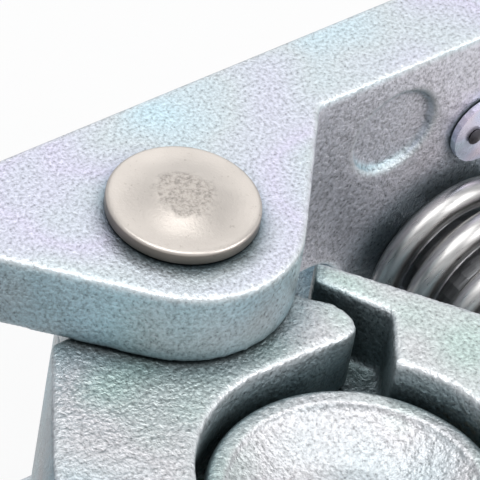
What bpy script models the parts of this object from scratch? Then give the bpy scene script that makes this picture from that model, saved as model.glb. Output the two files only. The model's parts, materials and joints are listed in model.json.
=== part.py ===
"""Twin-jaw trailer coupler lock: a cast frame with two sprung jaws that close on the neck of a round coupling post.

Metres, +Z up. X runs along the frame's bar, -Y points to the jaws' mouth. The jaws share one upright pivot rivet.
"""

import math

import bmesh
import bpy
from mathutils import Matrix

MM = 0.001
GAP = 0.3

# Frame casting
HEIGHT = 78.0
HALF_WIDTH = 78.0
WALL_FRONT = 7.2
WALL_BACK = 19.9
EAR_RADIUS = 16.5
EAR_FLANK = 48.4
EAR_THICK = 11.6
WINDOW_HALF = 25.0
CAST_STEP = 0.15
RECESS_X = 43.3
RECESS_RADIUS = 6.8
RECESS_DEPTH = 1.2
RECESS_DROP = 11.7
MOUNT_HOLE_RADIUS = 5.5
MOUNT_HOLES = ((32.5, 19.0), (32.5, 40.0), (HALF_WIDTH - 9.0, 14.0))
MID_HEIGHT = HEIGHT / 2

# The part's zero lies under the middle of its footprint, so the pivot axis stands behind it
PIVOT_Y = 15.5

# Pivot rivet
RIVET_HEAD_RADIUS = 10.3
RIVET_HEAD_EDGE = 1.9
RIVET_HEAD_DOME = 1.0
RIVET_FLAT_RADIUS = 4.0
RIVET_RADIUS = 6.0
BUSH_THICK = 1.5
COUNTERBORE_DEPTH = 4.6
RIVET_TAIL_LIP = 2.4
RIVET_TAIL_HIGH = 2.4
RIVET_TAIL_LOW = 0.4

# Coupling post
POST_RADIUS = 20.0
POST_RIM_DROP = 4.3
POST_RIM_WIDTH = 2.7
POST_DISH_SLOPE = 6.6
POST_DISH_DEPTH = 4.4
POST_NECK_STEP = 5.0
POST_NECK_CONE = 2.6
POST_FOOT_LIP = 3.0
POST_FOOT_HIGH = 9.7
POST_CLEARANCE = 1.6
NECK_CLEARANCE = 1.2
POST_NECK_RADIUS = POST_RADIUS - POST_NECK_STEP
POST_RIM_INNER = POST_RADIUS - POST_RIM_WIDTH
POST_DISH_RADIUS = POST_RIM_INNER - POST_DISH_SLOPE
POST_FOOT_RADIUS = POST_RADIUS + POST_FOOT_LIP

# Jaws
JAW_LOW = EAR_THICK + GAP
JAW_HIGH = HEIGHT - EAR_THICK - GAP
TONGUE = 11.0
MIDDLE_TONGUE_RELIEF = 1.0
KNUCKLE_RADIUS = 14.0
POST_Y = -41.7
POCKET_RADIUS = POST_RADIUS + POST_CLEARANCE
LEFT_OUTER = 40.0
RIGHT_OUTER = 36.0
LEFT_TANGENT = 144.5
RIGHT_TANGENT = 26.8
END_WALL_ANGLE = 41.0
NOSE_ANGLE = -55.0
FINGER_IN = (16.3, -9.8)
FINGER_ROOT = (21.8, -19.8)
RIGHT_FINGER_OUT = (18.8, -6.8)
LEFT_FINGER_OUT = (-21.0, -2.2)
TOOTH = ((14.2, -20.6), (16.0, -19.9), (16.9, -17.5), (16.1, -14.4), (13.0, -11.0))

# Liners in the jaws that reach round the post's neck
LINER_RADIUS = POST_NECK_RADIUS + NECK_CLEARANCE
LINER_LOW = JAW_LOW + TONGUE + 2.1
LINER_HIGH = JAW_HIGH - TONGUE - 5.1
LINER_SEAT = 1.5
LINER_START = 30.0
LINER_END = NOSE_ANGLE + 6.0
LINER_PLAY = 1.0
NECK_PLAY = 0.4

# Springs, their studs and the jaws' wings
SPRING_X = 54.7
SPRING_Z = MID_HEIGHT
SPRING_MEAN = 12.9
WIRE_RADIUS = 2.1
SPRING_TURNS = 5.0
END_TURN_GAP = 1.2
WING_BACK = -33.0
WING_FRONT = -44.0
WING_INNER = 30.0
WING_OUTER = 71.0
WING_HALF_HEIGHT = 16.0
CUP_RADIUS = 15.5
CUP_FLOOR = 1.8
CUP_BOSS_RADIUS = 9.0
CUP_BOSS = 4.0
STUD_FLANGE_RADIUS = 9.6
STUD_END = -16.0
STUD_RADIUS = 8.0
STUD_BORE = 3.4
SCREW_RADIUS = 3.0
NUT_FLATS = 24.0
NUT_THICK = 7.0
KNOB_RADIUS = 12.0
KNOB_LENGTH = 11.0
KNOB_LOBES = 6

# Type plate
PLATE_X = 54.0
PLATE_WIDTH = 20.0
PLATE_HEIGHT = 10.4
PLATE_PLAY = 1.3
PLATE_PIN_INSET = 3.4
PIN_RADIUS = 0.8
PIN_HEAD_RADIUS = 1.3
PLATE_THICK = 1.0

# Grease nipple
NIPPLE_INSET = 12.0

SEGMENTS = 36


for old in list(bpy.data.objects):
    bpy.data.objects.remove(old, do_unlink=True)

parts = bpy.data.collections.new("trailer_coupler_lock")
cutters = bpy.data.collections.new("cutters")
bpy.context.scene.collection.children.link(parts)
bpy.context.scene.collection.children.link(cutters)
cutters.hide_render = True


def material(name, colour, roughness, metallic):
    made = bpy.data.materials.new(name)
    made.use_nodes = True
    shader = made.node_tree.nodes["Principled BSDF"]
    shader.inputs["Base Color"].default_value = (*colour, 1.0)
    shader.inputs["Roughness"].default_value = roughness
    shader.inputs["Metallic"].default_value = metallic
    return made


ZINC = ((0.52, 0.57, 0.61), 0.45, 0.9)
RIVET = ((0.60, 0.57, 0.53), 0.38, 0.95)
STEEL = ((0.47, 0.47, 0.47), 0.32, 1.0)
BRONZE = ((0.55, 0.40, 0.20), 0.40, 1.0)
PLATE = ((0.60, 0.58, 0.66), 0.28, 0.9)
KNOB = ((0.03, 0.03, 0.035), 0.55, 0.0)


def arc(centre, radius, start, end, steps):
    """Points on a circle from start to end, in degrees."""
    return [
        (
            centre[0] + radius * math.cos(math.radians(start + (end - start) * i / steps)),
            centre[1] + radius * math.sin(math.radians(start + (end - start) * i / steps)),
        )
        for i in range(steps + 1)
    ]


def mirrored(points):
    return [(-x, y) for x, y in points]


def link(name, mesh, is_cutter=False):
    obj = bpy.data.objects.new(name, mesh)
    (cutters if is_cutter else parts).objects.link(obj)
    if is_cutter:
        obj.hide_render = True
        obj.display_type = "WIRE"
    return obj


def evaluated_mesh(obj):
    """The object's mesh as its modifiers or its curve make it, with doubled points welded."""
    depsgraph = bpy.context.evaluated_depsgraph_get()
    mesh = bpy.data.meshes.new_from_object(obj.evaluated_get(depsgraph))
    bm = bmesh.new()
    bm.from_mesh(mesh)
    bmesh.ops.remove_doubles(bm, verts=bm.verts, dist=1e-6)
    bmesh.ops.dissolve_limit(bm, angle_limit=0.001, verts=bm.verts, edges=bm.edges)
    bmesh.ops.recalc_face_normals(bm, faces=bm.faces)
    bm.to_mesh(mesh)
    bm.free()
    return mesh


def outline(name, points, low, high, is_cutter=False):
    """A flat outline in millimetres, filled and raised from low to high."""
    curve = bpy.data.curves.new(name, "CURVE")
    curve.dimensions = "2D"
    curve.fill_mode = "BOTH"
    curve.extrude = (high - low) / 2 * MM
    spline = curve.splines.new("POLY")
    spline.points.add(len(points) - 1)
    for point, (x, y) in zip(spline.points, points):
        point.co = (x * MM, y * MM, 0.0, 1.0)
    spline.use_cyclic_u = True
    drawn = link(name + "_curve", curve, True)
    bpy.context.view_layer.update()
    mesh = evaluated_mesh(drawn)
    bpy.data.objects.remove(drawn, do_unlink=True)
    mesh.transform(Matrix.Translation((0, 0, (low + high) / 2 * MM)))
    return link(name, mesh, is_cutter)


def turned(name, profile, place=(0.0, 0.0, 0.0), along_y=False, closed=False, is_cutter=False, steps=SEGMENTS):
    """A profile of (radius, height) pairs, from the top down the outer side, turned about its axis."""
    mesh = bpy.data.meshes.new(name)
    bm = bmesh.new()
    points = [bm.verts.new((r * MM, 0.0, h * MM)) for r, h in profile]
    for first, second in zip(points, points[1:]):
        bm.edges.new((first, second))
    if closed:
        bm.edges.new((points[-1], points[0]))
    bm.to_mesh(mesh)
    bm.free()
    drawn = link(name + "_profile", mesh, True)
    screw = drawn.modifiers.new("Turn", "SCREW")
    screw.steps = steps
    screw.render_steps = steps
    screw.use_merge_vertices = True
    screw.merge_threshold = 1e-6
    bpy.context.view_layer.update()
    solid = evaluated_mesh(drawn)
    bpy.data.objects.remove(drawn, do_unlink=True)
    if along_y:
        solid.transform(Matrix.Rotation(math.radians(90), 4, "X"))
    solid.transform(Matrix.Translation([v * MM for v in place]))
    obj = link(name, solid, is_cutter)
    for polygon in solid.polygons:
        polygon.use_smooth = True
    solid.set_sharp_from_angle(angle=math.radians(30))
    return obj


def block(name, low, high, is_cutter=False):
    """A box between two corners in millimetres."""
    mesh = bpy.data.meshes.new(name)
    bm = bmesh.new()
    bmesh.ops.create_cube(bm, size=1.0)
    for vert in bm.verts:
        vert.co = [(low[i] + (high[i] - low[i]) * (vert.co[i] + 0.5)) * MM for i in range(3)]
    bm.to_mesh(mesh)
    bm.free()
    return link(name, mesh, is_cutter)


def rod(name, radius, start, end, x, z, is_cutter=False, steps=SEGMENTS):
    """A round bar along Y from start to end."""
    return turned(name, [(0, -start), (radius, -start), (radius, -end), (0, -end)],
                  (x, 0, z), along_y=True, is_cutter=is_cutter, steps=steps)


def combine(target, other, how):
    """Joins or cuts one solid with another and makes the result the target's own mesh."""
    modifier = target.modifiers.new(how.title(), "BOOLEAN")
    modifier.operation = how
    modifier.solver = "EXACT"
    modifier.object = other
    bpy.context.view_layer.update()
    mesh = evaluated_mesh(target)
    target.modifiers.clear()
    target.data = mesh


def finish(obj, look, axis_point=None):
    """Moves the piece to the part's own frame, puts its origin on its axis and gives it its material."""
    place = Matrix.Translation((0, PIVOT_Y * MM, 0))
    obj.data.transform(place)
    if axis_point:
        origin = Matrix.Translation([v * MM for v in axis_point]) @ place
        obj.data.transform(origin.inverted())
        obj.matrix_world = origin
    obj.data.materials.clear()
    obj.data.materials.append(material(obj.name, *look))
    return obj


# Frame: the bar's outline with the pivot ear, full height, opened between its two decks
flank = math.radians(EAR_FLANK)
ear = arc((0, 0), EAR_RADIUS, 270 - EAR_FLANK, 270 + EAR_FLANK, 16)
ear_foot = (EAR_RADIUS + WALL_FRONT * math.cos(flank)) / math.sin(flank)
root = (WALL_FRONT + WALL_BACK) / 2
frame = block("frame_casting", (-HALF_WIDTH, WALL_FRONT, 0.0), (HALF_WIDTH, WALL_BACK, HEIGHT))
combine(frame, outline("ears", [*ear, (ear_foot, WALL_FRONT), (ear_foot - 2, root), (2 - ear_foot, root),
                                (-ear_foot, WALL_FRONT)], 0.0, HEIGHT, True), "UNION")
step = WALL_FRONT - CAST_STEP
beside, ahead, behind = ear_foot + 10, -EAR_RADIUS - 10, WALL_BACK + 10
opened = outline("frame_opening", [(-WINDOW_HALF, behind), (-WINDOW_HALF, step), (-beside, step), (-beside, ahead),
                                   (beside, ahead), (beside, step), (WINDOW_HALF, step), (WINDOW_HALF, behind)],
                 EAR_THICK, HEIGHT - EAR_THICK, True)
combine(frame, opened, "DIFFERENCE")
combine(frame, turned("pivot_bore", [(0, 100), (RIVET_RADIUS + GAP, 100), (RIVET_RADIUS + GAP, -10), (0, -10)],
                      is_cutter=True), "DIFFERENCE")
combine(frame, turned("rivet_counterbore", [(0, COUNTERBORE_DEPTH), (RIVET_HEAD_RADIUS + GAP, COUNTERBORE_DEPTH),
                                            (RIVET_HEAD_RADIUS + GAP, -5), (0, -5)], is_cutter=True), "DIFFERENCE")
for side in (-1, 1):
    combine(frame, rod("stud_bore", STUD_RADIUS + GAP, -5, 30, side * SPRING_X, SPRING_Z, True), "DIFFERENCE")
    combine(frame, rod("recess", RECESS_RADIUS, 0, WALL_FRONT + RECESS_DEPTH, side * RECESS_X,
                       HEIGHT - RECESS_DROP, True, 32), "DIFFERENCE")
    for x, z in MOUNT_HOLES:
        combine(frame, rod("mount_hole", MOUNT_HOLE_RADIUS, -5, 30, side * x, z, True, 24), "DIFFERENCE")
finish(frame, ZINC)

# Jaws: each has its ring and finger at full height and its hinge tongues at the levels the other leaves free
POST = (0.0, POST_Y)
knuckle_right = arc((0, 0), KNUCKLE_RADIUS, 218, -8, 24)


def jaw_profile(side, outer, tangent, finger_out):
    """Plan of one jaw's ring, nose and finger, drawn on the right and mirrored for the left."""
    points = [FINGER_IN, FINGER_ROOT]
    points += arc(POST, POCKET_RADIUS, END_WALL_ANGLE, NOSE_ANGLE, 22)
    points += arc(POST, POCKET_RADIUS + 3.2, NOSE_ANGLE - 7, NOSE_ANGLE - 7, 1)[:1]
    points += arc(POST, outer - 3.4, NOSE_ANGLE, NOSE_ANGLE, 1)[:1]
    points += arc(POST, outer, NOSE_ANGLE + 7, tangent, 18)
    points += [finger_out]
    return points if side > 0 else mirrored(points)


def tongue_profile(side, outer, tangent, finger_out, relief):
    """Plan of the knuckle and tooth that cross to the other side of the mouth, set back from the post by the relief."""
    points = [(-x, y) for x, y in TOOTH]
    points += knuckle_right
    points += [finger_out]
    points += arc(POST, outer, tangent, tangent, 1)[:1]
    points += arc(POST, POCKET_RADIUS + 2.0, 30, 30, 1)[:1]
    points += arc(POST, POCKET_RADIUS + relief, 36, 90, 12)
    return points if side > 0 else mirrored(points)


def ring_part(side, inner, outer, start, end):
    """Plan of a piece of ring about the post, drawn on the right and mirrored for the left."""
    points = arc(POST, inner, start, end, 18) + arc(POST, outer, end, start, 18)
    return points if side > 0 else mirrored(points)


def jaw(name, side, outer, tangent, finger_out, tongues, relief=0.0):
    made = outline(name, jaw_profile(side, outer, tangent, finger_out), JAW_LOW, JAW_HIGH)
    for i, (low, high) in enumerate(tongues):
        combine(made, outline(f"{name}_tongue_{i}", tongue_profile(side, outer, tangent, finger_out, relief), low, high, True),
                "UNION")
    seat = ring_part(side, POCKET_RADIUS - 1.0, POCKET_RADIUS + LINER_SEAT, LINER_START + LINER_PLAY, LINER_END - LINER_PLAY)
    combine(made, outline(name + "_liner_seat", seat, LINER_LOW - GAP, LINER_HIGH + GAP, True), "DIFFERENCE")
    inner, far = sorted((side * WING_INNER, side * WING_OUTER))
    combine(made, block(name + "_wing", (inner, WING_FRONT, SPRING_Z - WING_HALF_HEIGHT),
                        (far, WING_BACK, SPRING_Z + WING_HALF_HEIGHT), True), "UNION")
    bore = RIVET_RADIUS + 2 * GAP + BUSH_THICK
    combine(made, turned(name + "_bore", [(0, 100), (bore, 100), (bore, -10), (0, -10)], is_cutter=True), "DIFFERENCE")
    return finish(made, ZINC, (0, 0, 0))


left_levels = ((JAW_LOW, JAW_LOW + TONGUE), (JAW_HIGH - TONGUE, JAW_HIGH))
right_levels = ((JAW_LOW + TONGUE + GAP, JAW_HIGH - TONGUE - GAP),)
jaw("left_jaw", -1, LEFT_OUTER, 180 - LEFT_TANGENT, (-LEFT_FINGER_OUT[0], LEFT_FINGER_OUT[1]), left_levels)
jaw("right_jaw", 1, RIGHT_OUTER, RIGHT_TANGENT, RIGHT_FINGER_OUT, right_levels, MIDDLE_TONGUE_RELIEF)
for side, name in ((-1, "left_neck_liner"), (1, "right_neck_liner")):
    lining = ring_part(side, LINER_RADIUS, POCKET_RADIUS + LINER_SEAT - GAP, LINER_START, LINER_END)
    finish(outline(name, lining, LINER_LOW, LINER_HIGH), BRONZE, (0, 0, 0))


def bush(name, low, high):
    inner = RIVET_RADIUS + GAP
    return turned(name, [(inner + BUSH_THICK, high), (inner + BUSH_THICK, low), (inner, low), (inner, high)], closed=True)


for name, (low, high) in zip(("left_jaw_lower_bush", "left_jaw_upper_bush"), left_levels):
    finish(bush(name, low, high), BRONZE, (0, 0, 0))
finish(bush("right_jaw_bush", *right_levels[0]), BRONZE, (0, 0, 0))

# Pivot rivet: low domed head above the ear, shank through both ears, formed head in the lower counterbore
head = HEIGHT + GAP
finish(turned("pivot_rivet", [
    (0, head + RIVET_HEAD_EDGE + RIVET_HEAD_DOME), (RIVET_FLAT_RADIUS, head + RIVET_HEAD_EDGE + RIVET_HEAD_DOME),
    (RIVET_HEAD_RADIUS * 0.75, head + RIVET_HEAD_EDGE + RIVET_HEAD_DOME * 0.5),
    (RIVET_HEAD_RADIUS - 0.5, head + RIVET_HEAD_EDGE), (RIVET_HEAD_RADIUS, head + RIVET_HEAD_EDGE - 0.5),
    (RIVET_HEAD_RADIUS, head), (RIVET_RADIUS, head), (RIVET_RADIUS, RIVET_TAIL_HIGH),
    (RIVET_RADIUS + RIVET_TAIL_LIP, RIVET_TAIL_HIGH), (RIVET_RADIUS + RIVET_TAIL_LIP, RIVET_TAIL_LOW + 0.5),
    (RIVET_RADIUS + RIVET_TAIL_LIP / 2, RIVET_TAIL_LOW), (0, RIVET_TAIL_LOW)]), RIVET)
finish(turned("rivet_washer", [
    (RIVET_HEAD_RADIUS, COUNTERBORE_DEPTH - GAP), (RIVET_HEAD_RADIUS, RIVET_TAIL_HIGH + GAP),
    (RIVET_RADIUS + GAP, RIVET_TAIL_HIGH + GAP),
    (RIVET_RADIUS + GAP, COUNTERBORE_DEPTH - GAP)], closed=True), STEEL)

# Coupling post: dished round head, narrow neck for the jaws' liners, foot below the jaws
rim = JAW_HIGH - POST_RIM_DROP
neck_low, neck_high = LINER_LOW - NECK_PLAY, LINER_HIGH + NECK_PLAY
post = turned("coupling_post", [
    (0, rim - POST_DISH_DEPTH), (POST_DISH_RADIUS, rim - POST_DISH_DEPTH), (POST_RIM_INNER, rim - 0.3),
    (POST_RIM_INNER + 0.5, rim), (POST_RADIUS - 0.7, rim), (POST_RADIUS, rim - 0.7),
    (POST_RADIUS, neck_high + POST_NECK_CONE), (POST_NECK_RADIUS, neck_high), (POST_NECK_RADIUS, neck_low),
    (POST_RADIUS, neck_low - POST_NECK_CONE), (POST_RADIUS, POST_FOOT_HIGH),
    (POST_FOOT_RADIUS - 0.8, POST_FOOT_HIGH), (POST_FOOT_RADIUS, POST_FOOT_HIGH - 0.8), (POST_FOOT_RADIUS, 0.0),
    (0, 0.0)], (0, POST_Y, 0), steps=64)
finish(post, ZINC, (0, POST_Y, 0))


def hexagon(flats):
    return [(flats / math.sqrt(3) * math.cos(math.radians(60 * i)), flats / math.sqrt(3) * math.sin(math.radians(60 * i)))
            for i in range(6)]


def stand_along_y(obj, x, y, z):
    """Turns a piece drawn about Z so that its top faces -Y, and sets it at a point."""
    obj.data.transform(Matrix.Translation([v * MM for v in (x, y, z)]) @ Matrix.Rotation(math.radians(90), 4, "X"))


def spring(name, x):
    """One unbroken wire wound about Y, with closed end turns, and the least distance between its own turns."""
    start, end = WALL_FRONT - GAP - WIRE_RADIUS, WING_BACK + GAP + CUP_FLOOR + GAP + WIRE_RADIUS
    per_turn = 10
    count = int(SPRING_TURNS * per_turn)
    closed_step = 2 * WIRE_RADIUS + END_TURN_GAP
    points = []
    for i in range(count + 1):
        turn = i / per_turn
        if turn <= 1:
            y = start - closed_step * turn
        elif turn >= SPRING_TURNS - 1:
            y = end + closed_step * (SPRING_TURNS - turn)
        else:
            share = (turn - 1) / (SPRING_TURNS - 2)
            y = start - closed_step + (end - start + 2 * closed_step) * share
        angle = 2 * math.pi * turn
        points.append((x + SPRING_MEAN * math.cos(angle), y, SPRING_Z + SPRING_MEAN * math.sin(angle)))
    least = min(math.dist(points[i], points[j]) - 2 * WIRE_RADIUS
                for i in range(len(points)) for j in range(i + per_turn - 2, len(points)))
    print(f"{name}: least gap between turns {least:.2f} mm")
    curve = bpy.data.curves.new(name, "CURVE")
    curve.dimensions = "3D"
    curve.bevel_depth = WIRE_RADIUS * MM
    curve.bevel_resolution = 1
    curve.use_fill_caps = True
    spline = curve.splines.new("POLY")
    spline.points.add(count)
    for point, place in zip(spline.points, points):
        point.co = (*[v * MM for v in place], 1.0)
    drawn = link(name + "_curve", curve, True)
    bpy.context.view_layer.update()
    mesh = evaluated_mesh(drawn)
    bpy.data.objects.remove(drawn, do_unlink=True)
    return link(name, mesh)


for side, name in ((-1, "left"), (1, "right")):
    x = side * SPRING_X
    finish(spring(name + "_spring", x), STEEL)

    # Cup on the wing, with a boss inside the spring
    cup = turned(name + "_spring_cup", [
        (0, CUP_FLOOR + CUP_BOSS), (CUP_BOSS_RADIUS - 1, CUP_FLOOR + CUP_BOSS), (CUP_BOSS_RADIUS, CUP_FLOOR + CUP_BOSS - 1),
        (CUP_BOSS_RADIUS, CUP_FLOOR), (CUP_RADIUS, CUP_FLOOR), (CUP_RADIUS, 0), (0, 0)])
    cup.data.transform(Matrix.Translation([v * MM for v in (x, WING_BACK + GAP, SPRING_Z)])
                       @ Matrix.Rotation(math.radians(-90), 4, "X"))
    finish(cup, STEEL, (0, 0, 0))

    # Hollow guide stud through the wall, its nut behind, and the lock screw with its knob
    stud = turned(name + "_guide_stud", [
        (STUD_RADIUS, -STUD_END), (STUD_FLANGE_RADIUS, -STUD_END - 1.5), (STUD_FLANGE_RADIUS, -WALL_FRONT + GAP),
        (STUD_RADIUS, -WALL_FRONT + GAP), (STUD_RADIUS, -WALL_BACK - NUT_THICK - 2.5), (STUD_BORE, -WALL_BACK - NUT_THICK - 2.5),
        (STUD_BORE, -STUD_END)], (x, 0, SPRING_Z), along_y=True, closed=True, steps=32)
    finish(stud, STEEL)
    nut = outline(name + "_stud_nut", hexagon(NUT_FLATS), -WALL_BACK - GAP - NUT_THICK, -WALL_BACK - GAP)
    bore = turned("nut_bore", [(0, 10), (STUD_RADIUS + GAP, 10), (STUD_RADIUS + GAP, -60), (0, -60)], is_cutter=True, steps=32)
    combine(nut, bore, "DIFFERENCE")
    stand_along_y(nut, x, 0, SPRING_Z)
    finish(nut, STEEL)
    knob_front = WALL_BACK + NUT_THICK + 2.5 + GAP
    screw = turned(name + "_lock_screw", [
        (0, -STUD_END + 1.5), (SCREW_RADIUS - 0.8, -STUD_END + 1.5), (SCREW_RADIUS, -STUD_END + 0.7),
        (SCREW_RADIUS, -knob_front - KNOB_LENGTH + 3), (0, -knob_front - KNOB_LENGTH + 3)],
        (x, 0, SPRING_Z), along_y=True, steps=24)
    finish(screw, STEEL, (x, 0, SPRING_Z))
    lobes = [(
        (KNOB_RADIUS - 1.4 + 1.4 * math.cos(math.radians(a * KNOB_LOBES))) * math.cos(math.radians(a)),
        (KNOB_RADIUS - 1.4 + 1.4 * math.cos(math.radians(a * KNOB_LOBES))) * math.sin(math.radians(a))) for a in range(0, 360, 6)]
    knob = outline(name + "_lock_knob", lobes, -knob_front - KNOB_LENGTH, -knob_front)
    combine(knob, turned("knob_bore", [(0, 10), (SCREW_RADIUS + GAP, 10), (SCREW_RADIUS + GAP, -knob_front - KNOB_LENGTH + 2.7),
                                       (0, -knob_front - KNOB_LENGTH + 2.7)], is_cutter=True, steps=24), "DIFFERENCE")
    stand_along_y(knob, x, 0, SPRING_Z)
    finish(knob, KNOB, (x, 0, SPRING_Z))

# Blank type plate on the wall's right side, held by two pins
plate_z = SPRING_Z + SPRING_MEAN + WIRE_RADIUS + PLATE_PLAY + PLATE_HEIGHT / 2
plate_end = PLATE_HEIGHT / 2
plate = outline("type_plate", arc((PLATE_X + PLATE_WIDTH - plate_end, 0), plate_end, -90, 90, 12)
                + arc((PLATE_X + plate_end, 0), plate_end, 90, 270, 12), -WALL_FRONT + GAP, -WALL_FRONT + GAP + PLATE_THICK)
stand_along_y(plate, 0, 0, plate_z)
for name, x in (("type_plate_pin_inner", PLATE_X + PLATE_PIN_INSET),
                ("type_plate_pin_outer", PLATE_X + PLATE_WIDTH - PLATE_PIN_INSET)):
    combine(plate, rod("pin_bore", PIN_RADIUS + GAP, -5, WALL_FRONT, x, plate_z, True, 16), "DIFFERENCE")
    pin = turned(name, [
        (0, -WALL_FRONT + 2.1), (PIN_HEAD_RADIUS / 2, -WALL_FRONT + 2.0), (PIN_HEAD_RADIUS, -WALL_FRONT + 1.7),
        (PIN_HEAD_RADIUS, -WALL_FRONT + 1.6), (PIN_RADIUS, -WALL_FRONT + 1.6), (PIN_RADIUS, -WALL_FRONT + GAP),
        (0, -WALL_FRONT + GAP)],
        (x, 0, plate_z), along_y=True, steps=16)
    finish(pin, RIVET)
finish(plate, PLATE)

# Grease nipple on the bar's top, over the left end
nipple = turned("grease_nipple", [
    (0, HEIGHT + 8.3), (1.6, HEIGHT + 8.3), (2.6, HEIGHT + 7.3), (2.6, HEIGHT + 5.8), (1.8, HEIGHT + 5.0), (1.8, HEIGHT + 3.8),
    (4.2, HEIGHT + 3.2), (4.2, HEIGHT + GAP), (0, HEIGHT + GAP)], (NIPPLE_INSET - HALF_WIDTH, (WALL_FRONT + WALL_BACK) / 2, 0), steps=24)
finish(nipple, BRONZE)

for obj in parts.objects:
    count = sum(len(p.vertices) - 2 for p in obj.data.polygons)
    print(f"{obj.name}: {count} triangles before modifiers")
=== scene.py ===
"""Looks of a twin-jaw trailer coupler lock.

It has zinc-plated castings, a pivot rivet, a coupling post, springs and lock screws.
"""

import json
import math

import bmesh
import bpy
from mathutils import Matrix, Vector

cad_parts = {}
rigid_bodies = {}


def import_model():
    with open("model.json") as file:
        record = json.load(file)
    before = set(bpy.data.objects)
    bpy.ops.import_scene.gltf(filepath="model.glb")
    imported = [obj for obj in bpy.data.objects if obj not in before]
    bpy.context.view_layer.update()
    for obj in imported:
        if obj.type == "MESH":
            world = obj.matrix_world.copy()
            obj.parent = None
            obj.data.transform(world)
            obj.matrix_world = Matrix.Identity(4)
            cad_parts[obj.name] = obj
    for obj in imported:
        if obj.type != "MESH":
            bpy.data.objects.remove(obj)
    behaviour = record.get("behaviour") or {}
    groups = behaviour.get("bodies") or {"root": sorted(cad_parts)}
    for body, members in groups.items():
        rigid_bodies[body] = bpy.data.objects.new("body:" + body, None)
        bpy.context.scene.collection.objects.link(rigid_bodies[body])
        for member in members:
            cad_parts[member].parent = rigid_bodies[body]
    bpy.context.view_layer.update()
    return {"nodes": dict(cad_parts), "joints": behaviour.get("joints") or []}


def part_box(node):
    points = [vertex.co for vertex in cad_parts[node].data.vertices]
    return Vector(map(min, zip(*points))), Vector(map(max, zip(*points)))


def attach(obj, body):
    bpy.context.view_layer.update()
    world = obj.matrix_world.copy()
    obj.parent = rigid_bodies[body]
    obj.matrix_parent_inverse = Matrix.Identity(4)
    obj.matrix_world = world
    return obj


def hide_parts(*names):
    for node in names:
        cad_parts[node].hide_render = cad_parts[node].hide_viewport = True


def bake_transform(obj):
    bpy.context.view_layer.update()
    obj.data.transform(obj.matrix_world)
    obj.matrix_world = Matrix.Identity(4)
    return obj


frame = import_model()

bl_info = {
    "name": "Trailer Coupler Lock",
    "version": (1, 0, 0),
    "blender": (4, 5, 0),
    "location": "View3D > Sidebar > Coupler Lock",
    "description": "Dresses the coupler lock's castings, springs and fittings and sets its stage",
    "category": "Object",
}


def box_of(node):
    """Lowest and highest corner of a CAD node at rest."""
    return [Vector(corner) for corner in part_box(node)]


MM = 0.001
SIDES = ("left", "right")
BLACK, WHITE = (0.0, 0.0, 0.0), (1.0, 1.0, 1.0)

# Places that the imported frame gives
JOINTS = {joint["name"]: joint for joint in frame["joints"]}
PIVOT = Vector(JOINTS["left_jaw_swing"]["pos_m"])
POST_AXIS = Vector(JOINTS["post_swivel"]["pos_m"])
STUD_AXIS = {side: Vector(JOINTS[side + "_lock_turn"]["pos_m"]) for side in SIDES}
RIVET_BOX = box_of("pivot_rivet")
POST_BOX = box_of("coupling_post")
SPRING_BOX = {side: box_of(side + "_spring") for side in SIDES}
FRAME_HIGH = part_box("frame_casting")[1]
EAR_TOP = FRAME_HIGH[2]

# The wall behind the springs and the round recesses in it, whose edges stay crisp
WALL_THICK = 12.7 * MM
WALL_FACE = FRAME_HIGH[1] - WALL_THICK
RECESS_SIDE = 43.3 * MM
RECESS_DROP = 11.7 * MM
RECESS_REACH = 9.0 * MM
RECESSES = [Vector((side * RECESS_SIDE, WALL_FACE, EAR_TOP - RECESS_DROP)) for side in (-1, 1)]

# Smoothing passes near a recess, and the share of a remade mesh's faces that is kept
CRISP_PASSES = 4
KEPT_FACES = 0.5

# Mesh pitch and smoothing passes of the remade small fittings
KNOB_PITCH, KNOB_PASSES = 0.42 * MM, 8
NUT_PITCH, NUT_PASSES = 0.36 * MM, 4

# Welding distances of CAD copies and turned pieces, and the angle above which a turned edge looks sharp
CAD_WELD = 2e-6
TURNED_WELD = 1e-6
SHARP_ANGLE = math.radians(40)

# Noise scales of the castings, per metre: tinted patches, soft lumps and fine grain
PATCH_SCALE = 34.0
LUMP_SCALE = 900.0
GRAIN_SCALE = 2000.0

# Coupling post: radii, the dish below the rim, and heights above the foot's underside
POST_RADIUS = 20.0 * MM
POST_NECK = 15.0 * MM
POST_RIM_INNER = 17.5 * MM
POST_DISH_RADIUS = 10.2 * MM
POST_DISH_TOP_RADIUS = 16.9 * MM
POST_DISH_TOP_DROP = 0.7 * MM
POST_DISH_DEPTH = 4.4 * MM
POST_HEAD_LOW = 53.0 * MM
POST_NECK_HIGH = 50.4 * MM
POST_NECK_LOW = 24.6 * MM
POST_COLLAR_HIGH = 22.0 * MM
POST_FOOT_HIGH = 9.7 * MM
POST_FILLET = 1.4 * MM

# Pivot rivet: the flat middle and dome of its head, and the formed tail
RIVET_FLAT = 3.6 * MM
RIVET_DOME = 1.0 * MM
RIVET_DOME_STEPS = 8
RIVET_RIM = 0.7 * MM
RIVET_LIFT = 0.08 * MM
RIVET_SHANK = 6.0 * MM
RIVET_TAIL = 8.4 * MM
RIVET_TAIL_HIGH = 2.0 * MM
RIVET_TAIL_TIP = 7.2 * MM
RIVET_FILLET = 0.25 * MM

# Fineness of the coil
COIL_POINTS = 300
WIRE_SIDES = 20

# Stage
PICTURE_WIDTH = 480.0
SENSOR_WIDTH = 36.0
LOOK_AHEAD = 15.0 * MM
LOOK_HEIGHT = 66.0 * MM
LAMP_AIM = Vector((0, 0, 0.05))
FLOOR_SIZE = 3.0
FLOOR_DROP = 0.2 * MM
FLOOR_WHITE = 0.9


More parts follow.
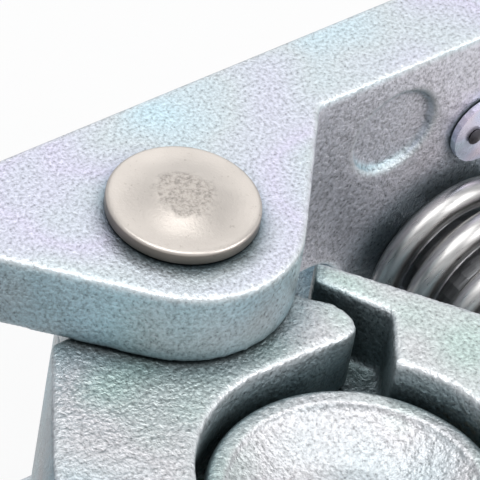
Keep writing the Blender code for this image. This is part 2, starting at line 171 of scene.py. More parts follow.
class CouplerCastingSettings(bpy.types.PropertyGroup):
    """Mesh and plating of the frame, the jaws and the post"""

    grain_pitch: bpy.props.FloatProperty(
        name="Casting pitch", description="Mesh pitch of the remade castings", default=0.0005, unit="LENGTH")
    edge_passes: bpy.props.IntProperty(
        name="Edge rounding", description="Smoothing passes that round the cast edges", default=16, min=0)
    zinc_cyan: bpy.props.FloatVectorProperty(
        name="Zinc, cyan tint", description="Plating where it leans to cyan", subtype="COLOR",
        default=(0.50, 0.685, 0.76))
    zinc_grey: bpy.props.FloatVectorProperty(
        name="Zinc, grey", description="Plain plating colour", subtype="COLOR", default=(0.54, 0.59, 0.615))
    zinc_lilac: bpy.props.FloatVectorProperty(
        name="Zinc, lilac tint", description="Plating of the frame where it leans to lilac", subtype="COLOR",
        default=(0.58, 0.565, 0.68))
    zinc_pale: bpy.props.FloatVectorProperty(
        name="Zinc, pale grey", description="Plating of the jaws and post where the frame leans to lilac",
        subtype="COLOR", default=(0.60, 0.595, 0.612))
    zinc_green: bpy.props.FloatVectorProperty(
        name="Zinc, green tint", description="Plating where it leans to green", subtype="COLOR",
        default=(0.495, 0.60, 0.57))
    # Painted light: a lighter mauve painted on the sheltered wall behind the springs
    wall_painted_light: bpy.props.FloatVectorProperty(
        name="Zinc, mauve wall", description="Plating on the sheltered wall behind the springs", subtype="COLOR",
        default=(0.78, 0.74, 0.805))
    # Bright edge colour: partly rubbed plating, partly a painted highlight on the rounded edges
    worn_and_highlit_edge: bpy.props.FloatVectorProperty(
        name="Worn edge", description="Plating rubbed bright on the edges", subtype="COLOR",
        default=(0.72, 0.75, 0.76))
    jaw_tone: bpy.props.FloatVectorProperty(
        name="Jaw tone", description="Darkening of the jaws' and post's plating", subtype="COLOR",
        default=(0.94, 0.935, 0.93))


class CouplerFittingSettings(bpy.types.PropertyGroup):
    """Springs and colours of the small fittings"""

    wire_radius: bpy.props.FloatProperty(
        name="Spring wire", description="Half the spring wire's thickness", default=0.0021, unit="LENGTH")
    turns: bpy.props.FloatProperty(name="Spring turns", description="Turns in each spring", default=5.0)
    closed_step: bpy.props.FloatProperty(
        name="End turn rise", description="Rise of a spring's closed end turn", default=0.0054, unit="LENGTH")
    rivet_colour: bpy.props.FloatVectorProperty(
        name="Rivet", description="Pressed rivet steel", subtype="COLOR", default=(0.53, 0.485, 0.442))
    wire_colour: bpy.props.FloatVectorProperty(
        name="Spring wire colour", description="Drawn spring wire", subtype="COLOR", default=(0.44, 0.43, 0.42))
    steel_colour: bpy.props.FloatVectorProperty(
        name="Turned steel", description="Studs, nuts, screws, cups and washer", subtype="COLOR",
        default=(0.56, 0.57, 0.59))
    bronze_colour: bpy.props.FloatVectorProperty(
        name="Bronze", description="Bushes, liners and grease nipple", subtype="COLOR", default=(0.58, 0.42, 0.22))
    plate_colour: bpy.props.FloatVectorProperty(
        name="Type plate", description="Smooth blank plate", subtype="COLOR", default=(0.70, 0.71, 0.88))
    pin_colour: bpy.props.FloatVectorProperty(
        name="Plate pins", description="Blued drive pins of the type plate", subtype="COLOR",
        default=(0.09, 0.085, 0.095))
    knob_colour: bpy.props.FloatVectorProperty(
        name="Lock knob", description="Moulded knob", subtype="COLOR", default=(0.035, 0.036, 0.04))


class CouplerStageSettings(bpy.types.PropertyGroup):
    """Camera and lamps"""

    azimuth: bpy.props.FloatProperty(
        name="View turn", description="Camera's turn round the part", default=math.radians(-44.41),
        subtype="ANGLE")
    elevation: bpy.props.FloatProperty(
        name="View height", description="Camera's angle above the floor", default=math.radians(44.16),
        subtype="ANGLE")
    roll: bpy.props.FloatProperty(
        name="Roll", description="Turn of the picture about the view axis", default=math.radians(10.54),
        subtype="ANGLE")
    distance: bpy.props.FloatProperty(
        name="Distance", description="Camera to part", default=0.8336, unit="LENGTH")
    focal_pixels: bpy.props.FloatProperty(
        name="Focal length", description="In pixels of a 480 pixel frame", default=6414.8)
    aim_pixels: bpy.props.FloatVectorProperty(
        name="Aim", description="Offset of the aim in pixels, before roll", size=2, default=(18.6, -105.9))
    key_power: bpy.props.FloatProperty(
        name="Key lamp", description="Power of the overhead lamp", default=2.4, unit="POWER")
    fill_power: bpy.props.FloatProperty(
        name="Fill lamp", description="Power of the rear lamp", default=0.8, unit="POWER")
    front_power: bpy.props.FloatProperty(
        name="Front lamp", description="Power of the front lamp", default=2.7, unit="POWER")
    sky: bpy.props.FloatProperty(
        name="Room light", description="Strength of the room's light", default=0.3)


def settings(context):
    """The casting, fitting and stage settings."""
    scene = context.scene
    return scene.coupler_casting, scene.coupler_fitting, scene.coupler_stage


def new_material(name):
    """A node material with its tree and shader."""
    material = bpy.data.materials.new(name)
    material.use_nodes = True
    tree = material.node_tree
    return material, tree, tree.nodes["Principled BSDF"]


def calc(tree, how, *values):
    """A Math node on numbers or sockets."""
    made = tree.nodes.new("ShaderNodeMath")
    made.operation = how
    for socket, value in zip(made.inputs, values):
        if isinstance(value, (int, float)):
            socket.default_value = value
        else:
            tree.links.new(value, socket)
    return made.outputs["Value"]


def vector_calc(tree, how, socket, fixed=None):
    """A Vector Math node on a socket and, where given, a fixed vector."""
    made = tree.nodes.new("ShaderNodeVectorMath")
    made.operation = how
    tree.links.new(socket, made.inputs[0])
    if fixed is not None:
        made.inputs[1].default_value = fixed
    return made.outputs


def noise(tree, vector, scale, detail=2.0, roughness=0.5):
    """Noise of a given scale per metre."""
    made = tree.nodes.new("ShaderNodeTexNoise")
    made.inputs["Scale"].default_value = scale
    made.inputs["Detail"].default_value = detail
    made.inputs["Roughness"].default_value = roughness
    tree.links.new(vector, made.inputs["Vector"])
    return made.outputs["Fac"]


def ramp(tree, value, stops):
    """A colour ramp with (place, colour) stops."""
    made = tree.nodes.new("ShaderNodeValToRGB")
    elements = made.color_ramp.elements
    while len(elements) < len(stops):
        elements.new(0.5)
    for element, (place, colour) in zip(elements, stops):
        element.position = place
        element.color = (*colour, 1.0)
    tree.links.new(value, made.inputs["Fac"])
    return made.outputs["Color"]


def blend_colour(tree, how, share, first, second):
    """Two colours, each a socket or a fixed colour, blended by a share."""
    made = tree.nodes.new("ShaderNodeMix")
    made.data_type = "RGBA"
    made.blend_type = how
    if isinstance(share, float):
        made.inputs["Factor"].default_value = share
    else:
        tree.links.new(share, made.inputs["Factor"])
    for socket, value in ((made.inputs[6], first), (made.inputs[7], second)):
        if isinstance(value, tuple):
            socket.default_value = (*value, 1.0)
        else:
            tree.links.new(value, socket)
    return made.outputs[2]


def spread(tree, value, low, high, to_low, to_high):
    """A value carried from one range to another."""
    made = tree.nodes.new("ShaderNodeMapRange")
    made.inputs["From Min"].default_value = low
    made.inputs["From Max"].default_value = high
    made.inputs["To Min"].default_value = to_low
    made.inputs["To Max"].default_value = to_high
    tree.links.new(value, made.inputs["Value"])
    return made.outputs["Result"]


def bump(tree, height, strength, distance, under=None):
    """Surface relief from a height, over an earlier relief where given."""
    made = tree.nodes.new("ShaderNodeBump")
    made.inputs["Strength"].default_value = strength
    made.inputs["Distance"].default_value = distance
    tree.links.new(height, made.inputs["Height"])
    if under is not None:
        tree.links.new(under, made.inputs["Normal"])
    return made.outputs["Normal"]


def place_of(tree):
    """The point on the piece, in metres."""
    return tree.nodes.new("ShaderNodeTexCoord").outputs["Object"]


def along(tree, vector, axis):
    """One coordinate of a vector."""
    made = tree.nodes.new("ShaderNodeSeparateXYZ")
    tree.links.new(vector, made.inputs["Vector"])
    return made.outputs[axis]


def facing_up(tree):
    """How far the surface faces up, from -1 to 1."""
    return along(tree, tree.nodes.new("ShaderNodeNewGeometry").outputs["Normal"], "Z")


def from_pivot(tree):
    """Distance from the rivet's axis, and the point seen from the pivot."""
    shift = tree.nodes.new("ShaderNodeMapping")
    shift.inputs["Location"].default_value = [-c for c in PIVOT]
    tree.links.new(place_of(tree), shift.inputs["Vector"])
    level = vector_calc(tree, "MULTIPLY", shift.outputs["Vector"], (1.0, 1.0, 0.0))["Vector"]
    return vector_calc(tree, "LENGTH", level)["Value"], shift.outputs["Vector"]


def scaled(colour, share):
    """A colour made darker or lighter."""
    return tuple(c * share for c in colour)


def wall_shade(tree, upright, colour, casting):
    """Painted light: a lighter mauve on the wall behind the springs, and a painted contact shadow on the near side
    of the rivet's head.
    """
    place = place_of(tree)
    # Painted light: upright faces close to the wall's face are lightened to mauve
    depth = spread(tree, along(tree, place, "Y"), WALL_FACE - 4 * MM, WALL_FACE + 6 * MM, 0.0, 1.0)
    full = scaled(WHITE, 0.85)
    behind = ramp(tree, depth, [(0.1, BLACK), (0.35, full), (0.6, full), (0.9, BLACK)])
    is_wall = spread(tree, calc(tree, "ABSOLUTE", upright), 0.1, 0.6, 1.0, 0.0)
    colour = blend_colour(tree, "MIX", calc(tree, "MULTIPLY", behind, is_wall), colour, tuple(casting.wall_painted_light))
    # Painted shadow: a ragged dark ring round the rivet's head, on its near side only, stands in for its contact
    # shadow
    radius, centred = from_pivot(tree)
    ragged = calc(tree, "MULTIPLY_ADD", noise(tree, place, 520.0, 3.0, 0.65), -2.2 * MM, radius)
    away = spread(tree, ragged, 9.4 * MM, 12.2 * MM, 0.0, 1.0)
    painted_shadow = ramp(tree, away, [(0.0, (0.16, 0.18, 0.19)), (1.0, WHITE)])
    ahead = vector_calc(tree, "DOT_PRODUCT", centred, (-0.55, -0.83, 0.0))["Value"]
    return blend_colour(tree, "MULTIPLY", spread(tree, ahead, -2 * MM, 9 * MM, 0.0, 1.0), colour, painted_shadow)


def zinc_finish(name, casting, is_frame=False):
    """Blue-passivated zinc over a fine cast grain: tinted patches with painted cyan shade on upright faces, bright
    edges that are partly wear and partly painted highlight, and painted shade in corners.
    """
    material, tree, shader = new_material(name)
    place = place_of(tree)
    if is_frame:
        tone, play, corner_reach = WHITE, casting.zinc_lilac, 6 * MM
        lump_strength, lump_height = 0.6, 0.25 * MM
    else:
        tone, play, corner_reach = casting.jaw_tone, casting.zinc_pale, 9 * MM
        lump_strength, lump_height = 0.8, 0.36 * MM

    upright = facing_up(tree)
    # Painted shade: the patch value drops for faces that point less upward, so upright and downward faces lean to
    # cyan as if in shade
    patch = calc(tree, "ADD", noise(tree, place, PATCH_SCALE), spread(tree, upright, 0.0, 1.0, -0.12, 0.05))
    colour = ramp(tree, patch, [(0.30, tuple(casting.zinc_cyan)), (0.45, tuple(casting.zinc_grey)),
                                (0.57, tuple(play)), (0.70, tuple(casting.zinc_green))])
    if is_frame:
        colour = wall_shade(tree, upright, colour, casting)
    grain = noise(tree, place, GRAIN_SCALE, 3.0, 0.6)
    speck = ramp(tree, grain, [(0.34, scaled(tone, 0.6)), (0.52, scaled(tone, 0.97)), (0.66, scaled(tone, 1.14))])
    colour = blend_colour(tree, "MULTIPLY", 1.0, colour, speck)
    # Bright edges: partly rubbed plating, partly a painted highlight on the rounded edges
    pointed = tree.nodes.new("ShaderNodeNewGeometry").outputs["Pointiness"]
    worn_and_highlit = ramp(tree, pointed, [(0.503, BLACK), (0.545, scaled(WHITE, 0.8))])
    colour = blend_colour(tree, "MIX", worn_and_highlit, colour, tuple(casting.worn_and_highlit_edge))
    # Painted shade: ambient occlusion darkens corners, creases and faces close to other parts towards a dark teal
    corner = tree.nodes.new("ShaderNodeAmbientOcclusion")
    corner.samples = 8
    corner.inputs["Distance"].default_value = corner_reach
    painted_shade = ramp(tree, corner.outputs["AO"], [(0.3, (0.07, 0.13, 0.14)), (0.62, (0.48, 0.58, 0.6)), (0.9, WHITE)])
    colour = blend_colour(tree, "MULTIPLY", 0.9, colour, painted_shade)

    tree.links.new(colour, shader.inputs["Base Color"])
    shader.inputs["Metallic"].default_value = 0.62
    tree.links.new(spread(tree, grain, 0.3, 0.7, 0.26, 0.46), shader.inputs["Roughness"])
    pitted = bump(tree, grain, 0.8, 0.2 * MM)
    lumps = bump(tree, noise(tree, place, LUMP_SCALE), lump_strength, lump_height, pitted)
    tree.links.new(lumps, shader.inputs["Normal"])
    return material


def rivet_finish(name, fitting):
    """Pressed warm steel with a dull, scuffed middle, fine pits and painted shade on the head's sides."""
    material, tree, shader = new_material(name)
    place = place_of(tree)
    base = tuple(fitting.rivet_colour)
    radius, centred = from_pivot(tree)
    scuff = noise(tree, centred, 2100.0, 3.0, 0.65)
    ragged = calc(tree, "MULTIPLY_ADD", noise(tree, place, 420.0, 3.0, 0.65), 4.2 * MM, radius)
    middle = spread(tree, ragged, 5.6 * MM, 6.8 * MM, 1.0, 0.0)
    marks = ramp(tree, scuff, [(0.32, scaled(base, 0.48)), (0.60, scaled(base, 0.88))])
    warm = ramp(tree, noise(tree, place, 130.0), [(0.3, scaled(base, 0.86)), (0.7, base)])
    pits = ramp(tree, noise(tree, place, 1500.0, 3.0, 0.7), [(0.26, (0.62, 0.6, 0.58)), (0.36, WHITE)])
    # Painted shade: the head's sides darken the less they face up
    rim = ramp(tree, facing_up(tree), [(0.15, (0.6, 0.57, 0.54)), (0.75, WHITE)])
    for shade in (pits, rim):
        warm = blend_colour(tree, "MULTIPLY", 1.0, warm, shade)
    tree.links.new(blend_colour(tree, "MIX", middle, warm, marks), shader.inputs["Base Color"])
    shader.inputs["Metallic"].default_value = 0.82
    tree.links.new(spread(tree, middle, 0.0, 1.0, 0.34, 0.55), shader.inputs["Roughness"])
    tree.links.new(bump(tree, scuff, 0.35, 0.1 * MM), shader.inputs["Normal"])
    return material


def steel_finish(name, colour, axis, gloss):
    """Metal with fine tool or draw marks across the given axis."""
    material, tree, shader = new_material(name)
    base = tuple(colour)
    marks = tree.nodes.new("ShaderNodeMapping")
    marks.inputs["Scale"].default_value = [1.0 if letter == axis else 0.12 for letter in "XYZ"]
    tree.links.new(place_of(tree), marks.inputs["Vector"])
    lines = noise(tree, marks.outputs["Vector"], 2600.0)
    tree.links.new(ramp(tree, lines, [(0.3, scaled(base, 0.78)), (0.65, base)]), shader.inputs["Base Color"])
    shader.inputs["Metallic"].default_value = 1.0
    tree.links.new(spread(tree, lines, 0.3, 0.7, gloss, gloss + 0.12), shader.inputs["Roughness"])
    tree.links.new(bump(tree, lines, 0.18, 0.06 * MM), shader.inputs["Normal"])
    return material


def plate_finish(name, fitting):
    """Smooth plated sheet with a faint play of green, lilac and pink."""
    material, tree, shader = new_material(name)
    place = place_of(tree)
    red, green, blue = fitting.plate_colour
    sheen = [(0.3, (red * 0.86, green * 1.06, blue * 0.94)), (0.48, (red, green, blue)),
             (0.66, (red * 1.16, green, blue * 0.92))]
    tree.links.new(ramp(tree, noise(tree, place, 190.0, 1.0), sheen), shader.inputs["Base Color"])
    shader.inputs["Metallic"].default_value = 0.5
    tree.links.new(spread(tree, noise(tree, place, 700.0), 0.3, 0.7, 0.2, 0.32), shader.inputs["Roughness"])
    tree.links.new(bump(tree, noise(tree, place, 500.0, 1.0), 0.15, 0.1 * MM), shader.inputs["Normal"])
    return material


def knob_finish(name, fitting):
    """Moulded knob with a fine spark-eroded texture."""
    material, tree, shader = new_material(name)
    place = place_of(tree)
    base = tuple(fitting.knob_colour)
    grain = noise(tree, place, 2200.0)
    shade = ramp(tree, noise(tree, place, 120.0), [(0.3, base), (0.7, scaled(base, 1.5))])
    tree.links.new(shade, shader.inputs["Base Color"])
    tree.links.new(spread(tree, grain, 0.3, 0.7, 0.45, 0.62), shader.inputs["Roughness"])
    tree.links.new(bump(tree, grain, 0.3, 0.06 * MM), shader.inputs["Normal"])
    return material


def dress(node, material):
    """Gives a CAD node its material."""
    materials = frame["nodes"][node].data.materials
    materials.clear()
    materials.append(material)


def link_piece(name, mesh, material):
    """Links a finished mesh as a piece with its material."""
    obj = bpy.data.objects.new(name, mesh)
    bpy.context.scene.collection.objects.link(obj)
    mesh.materials.clear()
    mesh.materials.append(material)
    return obj


def rigid_piece(name, mesh, material, body, node):
    """Links a piece that rides on a body and stands for a CAD node."""
    piece = link_piece(name, mesh, material)
    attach(piece, body)
    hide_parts(node)


def solid_copy(name):
    """A welded copy of a CAD node's mesh."""
    mesh = frame["nodes"][name].data.copy()
    bm = bmesh.new()
    bm.from_mesh(mesh)
    bmesh.ops.remove_doubles(bm, verts=bm.verts, dist=CAD_WELD)
    bm.to_mesh(mesh)
    bm.free()
    return mesh


def evaluated(obj):
    """The mesh of an object with its modifiers applied."""
    depsgraph = bpy.context.evaluated_depsgraph_get()
    return bpy.data.meshes.new_from_object(obj.evaluated_get(depsgraph))


def cast_mesh(name, pitch, passes, crisp=()):
    """A CAD node remade on a fine pitch with rounded edges. Near a crisp point the edges stay sharper."""
    helper = bpy.data.objects.new(name + "_mould", solid_copy(name))
    bpy.context.scene.collection.objects.link(helper)
    remesh = helper.modifiers.new("Pitch", "REMESH")
    remesh.mode = "VOXEL"
    remesh.voxel_size = pitch
    bpy.context.view_layer.update()
    helper.data = evaluated(helper)
    helper.modifiers.clear()
    group = helper.vertex_groups.new(name="soft edges")
    soft = [v.index for v in helper.data.vertices if all((v.co - spot).length > RECESS_REACH for spot in crisp)]
    group.add(soft, 1.0, "REPLACE")
    for label, count, members in (("Edges", CRISP_PASSES, ""), ("Soft edges", passes - CRISP_PASSES, group.name)):
        smooth = helper.modifiers.new(label, "SMOOTH")
        smooth.factor = 0.5
        smooth.iterations = max(count, 0)
        smooth.vertex_group = members
    helper.modifiers.new("Thin", "DECIMATE").ratio = KEPT_FACES
    bpy.context.view_layer.update()
    mesh = evaluated(helper)
    bpy.data.objects.remove(helper, do_unlink=True)
    mesh.shade_smooth()
    return mesh


def filleted(profile, radius, steps):
    """A profile with its inner corners eased by short curves."""
    points = [Vector(profile[0])]
    for before, corner, after in zip(profile, profile[1:], profile[2:]):
        before, corner, after = Vector(before), Vector(corner), Vector(after)
        reach = min(radius, (corner - before).length * 0.45, (after - corner).length * 0.45)
        start = corner + (before - corner).normalized() * reach
        end = corner + (after - corner).normalized() * reach
        for i in range(steps + 1):
            t = i / steps
            points.append(start * (1 - t) ** 2 + corner * 2 * t * (1 - t) + end * t * t)
    points.append(Vector(profile[-1]))
    return points


def turned_mesh(name, profile, axis, segments):
    """A profile of (radius, height) turned about an upright axis."""
    mesh = bpy.data.meshes.new(name)
    bm = bmesh.new()
    verts = [bm.verts.new((p[0], 0.0, p[1])) for p in profile]
    edges = [bm.edges.new(pair) for pair in zip(verts, verts[1:])]
    bmesh.ops.spin(bm, geom=verts + edges, cent=(0, 0, 0), axis=(0, 0, 1), angle=math.tau, steps=segments,
                   use_merge=True)
    bmesh.ops.remove_doubles(bm, verts=bm.verts, dist=TURNED_WELD)
    bmesh.ops.recalc_face_normals(bm, faces=bm.faces)
    bm.transform(Matrix.Translation((axis.x, axis.y, 0)))
    bm.to_mesh(mesh)
    bm.free()
    mesh.shade_smooth()
    mesh.set_sharp_from_angle(angle=SHARP_ANGLE)
    return mesh


def coil_tree():
    """Node tree for a closed-end compression spring wound about Y."""
    tree = bpy.data.node_groups.new("Closed end coil", "GeometryNodeTree")
    face = tree.interface
    face.new_socket("Geometry", in_out="OUTPUT", socket_type="NodeSocketGeometry")
    for label in ("Mean radius", "Wire radius", "Turns", "Start", "Length", "End turn rise", "Centre X",
                  "Centre Z"):
        face.new_socket(label, in_out="INPUT", socket_type="NodeSocketFloat")
    face.new_socket("Finish", in_out="INPUT", socket_type="NodeSocketMaterial")
    given = tree.nodes.new("NodeGroupInput").outputs

    line = tree.nodes.new("GeometryNodeCurvePrimitiveLine")
    line.inputs["End"].default_value = (0, 1, 0)
    fine = tree.nodes.new("GeometryNodeResampleCurve")
    fine.inputs["Count"].default_value = COIL_POINTS
    tree.links.new(line.outputs["Curve"], fine.inputs["Curve"])

    # The wire rises by the closed step in its first and last turn and evenly between them
    share = tree.nodes.new("GeometryNodeSplineParameter").outputs["Factor"]
    turns, step = given["Turns"], given["End turn rise"]
    turn = calc(tree, "MULTIPLY", share, turns)
    first = calc(tree, "MULTIPLY", calc(tree, "MINIMUM", turn, 1.0), step)
    into_last = calc(tree, "SUBTRACT", turn, calc(tree, "SUBTRACT", turns, 1.0))
    last = calc(tree, "MULTIPLY", calc(tree, "MAXIMUM", into_last, 0.0), step)
    open_turns = calc(tree, "SUBTRACT", turns, 2.0)
    into_open = calc(tree, "MINIMUM", calc(tree, "MAXIMUM", calc(tree, "SUBTRACT", turn, 1.0), 0.0), open_turns)
    open_length = calc(tree, "SUBTRACT", given["Length"], calc(tree, "MULTIPLY", step, 2.0))
    open_rise = calc(tree, "MULTIPLY", calc(tree, "DIVIDE", into_open, open_turns), open_length)
    rise = calc(tree, "ADD", calc(tree, "ADD", first, last), open_rise)
    angle = calc(tree, "MULTIPLY", turn, math.tau)
    spot = tree.nodes.new("ShaderNodeCombineXYZ")
    for axis, how in (("X", "COSINE"), ("Z", "SINE")):
        out = calc(tree, "MULTIPLY", given["Mean radius"], calc(tree, how, angle))
        tree.links.new(calc(tree, "ADD", given["Centre " + axis], out), spot.inputs[axis])
    tree.links.new(calc(tree, "SUBTRACT", given["Start"], rise), spot.inputs["Y"])
    wound = tree.nodes.new("GeometryNodeSetPosition")
    tree.links.new(fine.outputs["Curve"], wound.inputs["Geometry"])
    tree.links.new(spot.outputs["Vector"], wound.inputs["Position"])

    ring = tree.nodes.new("GeometryNodeCurvePrimitiveCircle")
    ring.inputs["Resolution"].default_value = WIRE_SIDES
    tree.links.new(given["Wire radius"], ring.inputs["Radius"])
    wire = tree.nodes.new("GeometryNodeCurveToMesh")
    wire.inputs["Fill Caps"].default_value = True
    tree.links.new(wound.outputs["Geometry"], wire.inputs["Curve"])
    tree.links.new(ring.outputs["Curve"], wire.inputs["Profile Curve"])
    real = tree.nodes.new("GeometryNodeRealizeInstances")
    tree.links.new(wire.outputs["Mesh"], real.inputs["Geometry"])
    dressed = tree.nodes.new("GeometryNodeSetMaterial")
    tree.links.new(real.outputs["Geometry"], dressed.inputs["Geometry"])
    tree.links.new(given["Finish"], dressed.inputs["Material"])
    tree.links.new(dressed.outputs["Geometry"], tree.nodes.new("NodeGroupOutput").inputs["Geometry"])
    return tree


def nodes_mesh(name, tree, values):
    """The mesh that a node tree makes with the given inputs."""
    holder = bpy.data.objects.new(name + "_nodes", bpy.data.meshes.new(name + "_nodes"))
    bpy.context.scene.collection.objects.link(holder)
    modifier = holder.modifiers.new("Nodes", "NODES")
    modifier.node_group = tree
    for item in tree.interface.items_tree:
        if item.in_out == "INPUT":
            modifier[item.identifier] = values[item.name]
    bpy.context.view_layer.update()
    mesh = evaluated(holder)
    bpy.data.objects.remove(holder, do_unlink=True)
    return mesh


class COUPLER_OT_castings(bpy.types.Operator):
    """Remake the frame and both jaws as rounded, grained castings"""

    bl_idname = "coupler.castings"
    bl_label = "Frame and jaws"

    def execute(self, context):
        casting = settings(context)[0]
        for name, body in (("frame_casting", "frame"), ("left_jaw", "left_jaw"), ("right_jaw", "right_jaw")):
            is_frame = body == "frame"
            mesh = cast_mesh(name, casting.grain_pitch, casting.edge_passes, RECESSES if is_frame else ())
            finish = zinc_finish(name + "_zinc", casting, is_frame)
            rigid_piece("cast_" + name, mesh, finish, body, name)
        return {"FINISHED"}


class COUPLER_OT_post(bpy.types.Operator):
    """Turn the dished coupling post"""

    bl_idname = "coupler.post"
    bl_label = "Coupling post"

    def execute(self, context):
        casting = settings(context)[0]
        rim = POST_BOX[1].z
        foot = POST_BOX[1].x - POST_AXIS.x
        profile = [(0, rim - POST_DISH_DEPTH), (POST_DISH_RADIUS, rim - POST_DISH_DEPTH),
                   (POST_DISH_TOP_RADIUS, rim - POST_DISH_TOP_DROP), (POST_RIM_INNER, rim), (POST_RADIUS, rim),
                   (POST_RADIUS, POST_HEAD_LOW), (POST_NECK, POST_NECK_HIGH), (POST_NECK, POST_NECK_LOW),
                   (POST_RADIUS, POST_COLLAR_HIGH), (POST_RADIUS, POST_FOOT_HIGH), (foot, POST_FOOT_HIGH),
                   (foot, 0.0), (0, 0.0)]
        mesh = turned_mesh("coupling_post", filleted(profile, POST_FILLET, 6), POST_AXIS, 144)
        finish = zinc_finish("post_zinc", casting)
        rigid_piece("turned_coupling_post", mesh, finish, "post", "coupling_post")
        return {"FINISHED"}


class COUPLER_OT_rivet(bpy.types.Operator):
    """Press the pivot rivet with its low domed head"""

    bl_idname = "coupler.rivet"
    bl_label = "Pivot rivet"

    def execute(self, context):
        fitting = settings(context)[1]
        low, high = RIVET_BOX[0].z, RIVET_BOX[1].z
        head = (RIVET_BOX[1].x - RIVET_BOX[0].x) / 2
        edge, under, tail = high - RIVET_DOME, EAR_TOP + RIVET_LIFT, low + RIVET_TAIL_HIGH
        dome_width = head - RIVET_RIM - RIVET_FLAT
        slope = []
        for i in range(1, RIVET_DOME_STEPS + 1):
            t = i / RIVET_DOME_STEPS
            slope.append((RIVET_FLAT + dome_width * t, high - RIVET_DOME * math.sin(math.pi / 2 * t) ** 1.15))
        profile = [(0, high), (RIVET_FLAT, high), *slope, (head - 0.25 * MM, edge - 0.08 * MM),
                   (head, edge - 0.35 * MM), (head, under + 0.25 * MM), (head - 0.3 * MM, under),
                   (RIVET_SHANK, under), (RIVET_SHANK, tail), (RIVET_TAIL, tail), (RIVET_TAIL, low + 0.5 * MM),
                   (RIVET_TAIL_TIP, low), (0, low)]
        mesh = turned_mesh("pivot_rivet", filleted(profile, RIVET_FILLET, 3), PIVOT, 128)
        finish = rivet_finish("rivet_steel", fitting)
        rigid_piece("pressed_pivot_rivet", mesh, finish, "frame", "pivot_rivet")
        return {"FINISHED"}


class COUPLER_OT_springs(bpy.types.Operator):
    """Wind both closed-end springs between the frame and the jaws' cups"""

    bl_idname = "coupler.springs"
    bl_label = "Springs"

    def execute(self, context):
        fitting = settings(context)[1]
        tree = coil_tree()
        wire = fitting.wire_radius
        for side in SIDES:
            low, high = SPRING_BOX[side]
            x, z = STUD_AXIS[side].x, STUD_AXIS[side].z
            finish = steel_finish(side + "_wire", fitting.wire_colour, "Y", 0.26)
            mesh = nodes_mesh(side + "_coil", tree, {
                "Mean radius": (high.x - low.x) / 2 - wire, "Wire radius": wire, "Turns": fitting.turns,
                "Start": high.y - wire, "Length": high.y - low.y - 2 * wire, "End turn rise": fitting.closed_step,
                "Centre X": x, "Centre Z": z, "Finish": finish})
            mesh.shade_smooth()
            coil = link_piece(side + "_coil", mesh, finish)
            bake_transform(coil)
            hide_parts(side + "_spring")
        return {"FINISHED"}


class COUPLER_OT_fittings(bpy.types.Operator):
    """Remake the lock knobs and nuts, and dress the other small fittings"""

    bl_idname = "coupler.fittings"
    bl_label = "Studs, locks and small fittings"

    def execute(self, context):
        fitting = settings(context)[1]
        steel = fitting.steel_colour
        for side in SIDES:
            knob, nut = side + "_lock_knob", side + "_stud_nut"
            rigid_piece(side + "_moulded_knob", cast_mesh(knob, KNOB_PITCH, KNOB_PASSES),
                        knob_finish(side + "_knob", fitting), side + "_lock", knob)
            rigid_piece(side + "_forged_nut", cast_mesh(nut, NUT_PITCH, NUT_PASSES),
                        steel_finish(side + "_nut", steel, "X", 0.3), "frame", nut)
            for part in ("guide_stud", "lock_screw", "spring_cup"):
                dress(f"{side}_{part}", steel_finish(f"{side}_{part}_steel", steel, "Y", 0.28))
        for name in ("left_jaw_lower_bush", "left_jaw_upper_bush", "right_jaw_bush", "left_neck_liner",
                     "right_neck_liner", "grease_nipple"):
            dress(name, steel_finish(name + "_bronze", fitting.bronze_colour, "Z", 0.32))
        dress("rivet_washer", steel_finish("washer_steel", steel, "Z", 0.3))
        dress("type_plate", plate_finish("plate_finish", fitting))
        for name in ("type_plate_pin_inner", "type_plate_pin_outer"):
            dress(name, steel_finish(name + "_blued", fitting.pin_colour, "Y", 0.36))
        return {"FINISHED"}


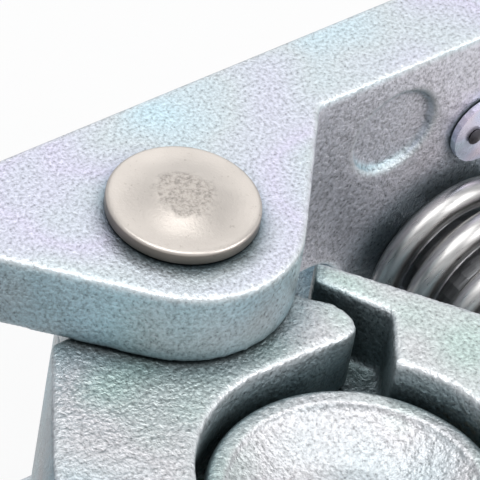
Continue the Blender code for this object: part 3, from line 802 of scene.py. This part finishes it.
class COUPLER_OT_stage(bpy.types.Operator):
    """Lay the pale floor and set the lamps and the camera"""

    bl_idname = "coupler.stage"
    bl_label = "Stage"

    def execute(self, context):
        stage = settings(context)[2]
        scene = context.scene
        scene.view_settings.view_transform = "Standard"
        self.floor(scene)
        self.room(scene, stage)
        self.lamps(scene, stage)
        self.camera(scene, stage)
        return {"FINISHED"}

    @staticmethod
    def seen_directly(tree):
        """1 for rays that show the backdrop itself or its reflection, 0 for light."""
        path = tree.nodes.new("ShaderNodeLightPath").outputs
        mirrored = calc(tree, "MAXIMUM", path["Is Camera Ray"], path["Is Glossy Ray"])
        return calc(tree, "MAXIMUM", mirrored, path["Is Transmission Ray"])

    def floor(self, scene):
        """A pale floor that is nearly white to the eye and keeps the part's shadow."""
        mesh = bpy.data.meshes.new("floor")
        bm = bmesh.new()
        bmesh.ops.create_grid(bm, x_segments=1, y_segments=1, size=FLOOR_SIZE)
        bm.to_mesh(mesh)
        bm.free()
        floor = bpy.data.objects.new("floor", mesh)
        scene.collection.objects.link(floor)
        floor.location.z = -FLOOR_DROP
        material, tree, shader = new_material("pale_floor")
        shader.inputs["Base Color"].default_value = (0.86, 0.86, 0.86, 1)
        shader.inputs["Roughness"].default_value = 0.8
        white = tree.nodes.new("ShaderNodeEmission")
        white.inputs["Strength"].default_value = 1.0
        mix = tree.nodes.new("ShaderNodeMixShader")
        tree.links.new(calc(tree, "MULTIPLY", self.seen_directly(tree), FLOOR_WHITE), mix.inputs["Fac"])
        tree.links.new(shader.outputs["BSDF"], mix.inputs[1])
        tree.links.new(white.outputs["Emission"], mix.inputs[2])
        tree.links.new(mix.outputs["Shader"], tree.nodes["Material Output"].inputs["Surface"])
        mesh.materials.append(material)

    def room(self, scene, stage):
        """A room that is white to the eye and in reflections, and gives a soft light."""
        world = bpy.data.worlds.new("soft_room")
        scene.world = world
        world.use_nodes = True
        tree = world.node_tree
        background = tree.nodes["Background"]
        background.inputs["Color"].default_value = (0.95, 0.97, 1.0, 1)
        strength = spread(tree, self.seen_directly(tree), 0.0, 1.0, stage.sky, 1.0)
        tree.links.new(strength, background.inputs["Strength"])

    @staticmethod
    def lamps(scene, stage):
        """Three soft square lamps."""
        for name, spot, size, power in (("overhead", (-0.06, 0.02, 0.7), 0.5, stage.key_power),
                                        ("rear", (0.5, 0.55, 0.6), 0.5, stage.fill_power),
                                        ("front", (0.42, -0.48, 0.6), 0.45, stage.front_power)):
            data = bpy.data.lights.new(name, "AREA")
            data.energy = power
            data.size = size
            lamp = bpy.data.objects.new(name, data)
            scene.collection.objects.link(lamp)
            lamp.location = spot
            lamp.rotation_euler = (LAMP_AIM - Vector(spot)).to_track_quat("-Z", "Y").to_euler()

    @staticmethod
    def camera(scene, stage):
        """A camera at the settings' angles, aimed off the part's middle by some pixels and rolled."""
        turn, height, roll = stage.azimuth, stage.elevation, stage.roll
        level = Vector((-math.sin(turn), math.cos(turn), 0))
        ahead = level * math.cos(height) - Vector((0, 0, math.sin(height)))
        right = Vector((math.cos(turn), math.sin(turn), 0))
        up = right.cross(ahead)
        look = Vector((PIVOT.x, PIVOT.y - LOOK_AHEAD, LOOK_HEIGHT))
        off_right, off_up = (pixels / stage.focal_pixels for pixels in stage.aim_pixels)
        aim = (ahead - right * off_right - up * off_up).normalized()
        side = (right - aim * right.dot(aim)).normalized()
        top = side.cross(aim)
        x_axis = side * math.cos(roll) + top * math.sin(roll)
        y_axis = -side * math.sin(roll) + top * math.cos(roll)
        data = bpy.data.cameras.new("view")
        data.sensor_fit = "HORIZONTAL"
        data.sensor_width = SENSOR_WIDTH
        data.lens = stage.focal_pixels / PICTURE_WIDTH * SENSOR_WIDTH
        data.clip_start = 0.05
        data.clip_end = 20.0
        camera = bpy.data.objects.new("view", data)
        scene.collection.objects.link(camera)
        facing = Matrix((x_axis, y_axis, -aim)).transposed().to_4x4()
        camera.matrix_world = Matrix.Translation(look - ahead * stage.distance) @ facing
        scene.camera = camera


class COUPLER_PT_panel(bpy.types.Panel):
    """Coupler lock's pieces and stage"""

    bl_idname = "COUPLER_PT_panel"
    bl_label = "Coupler Lock"
    bl_space_type = "VIEW_3D"
    bl_region_type = "UI"
    bl_category = "Coupler Lock"

    def draw(self, context):
        for operator in OPERATORS:
            self.layout.operator(operator.bl_idname)


OPERATORS = (COUPLER_OT_castings, COUPLER_OT_post, COUPLER_OT_rivet, COUPLER_OT_springs, COUPLER_OT_fittings,
             COUPLER_OT_stage)
GROUPS = (CouplerCastingSettings, CouplerFittingSettings, CouplerStageSettings)
CLASSES = (*GROUPS, *OPERATORS, COUPLER_PT_panel)


def register():
    for cls in CLASSES:
        bpy.utils.register_class(cls)
    bpy.types.Scene.coupler_casting = bpy.props.PointerProperty(type=CouplerCastingSettings)
    bpy.types.Scene.coupler_fitting = bpy.props.PointerProperty(type=CouplerFittingSettings)
    bpy.types.Scene.coupler_stage = bpy.props.PointerProperty(type=CouplerStageSettings)


def unregister():
    del bpy.types.Scene.coupler_stage
    del bpy.types.Scene.coupler_fitting
    del bpy.types.Scene.coupler_casting
    for cls in reversed(CLASSES):
        bpy.utils.unregister_class(cls)


def main():
    for old in [o for o in bpy.data.objects if o.name in ("Cube", "Light", "Camera")]:
        bpy.data.objects.remove(old, do_unlink=True)
    register()
    bpy.ops.coupler.castings()
    bpy.ops.coupler.post()
    bpy.ops.coupler.rivet()
    bpy.ops.coupler.springs()
    bpy.ops.coupler.fittings()
    bpy.ops.coupler.stage()


if __name__ == "__main__":
    main()
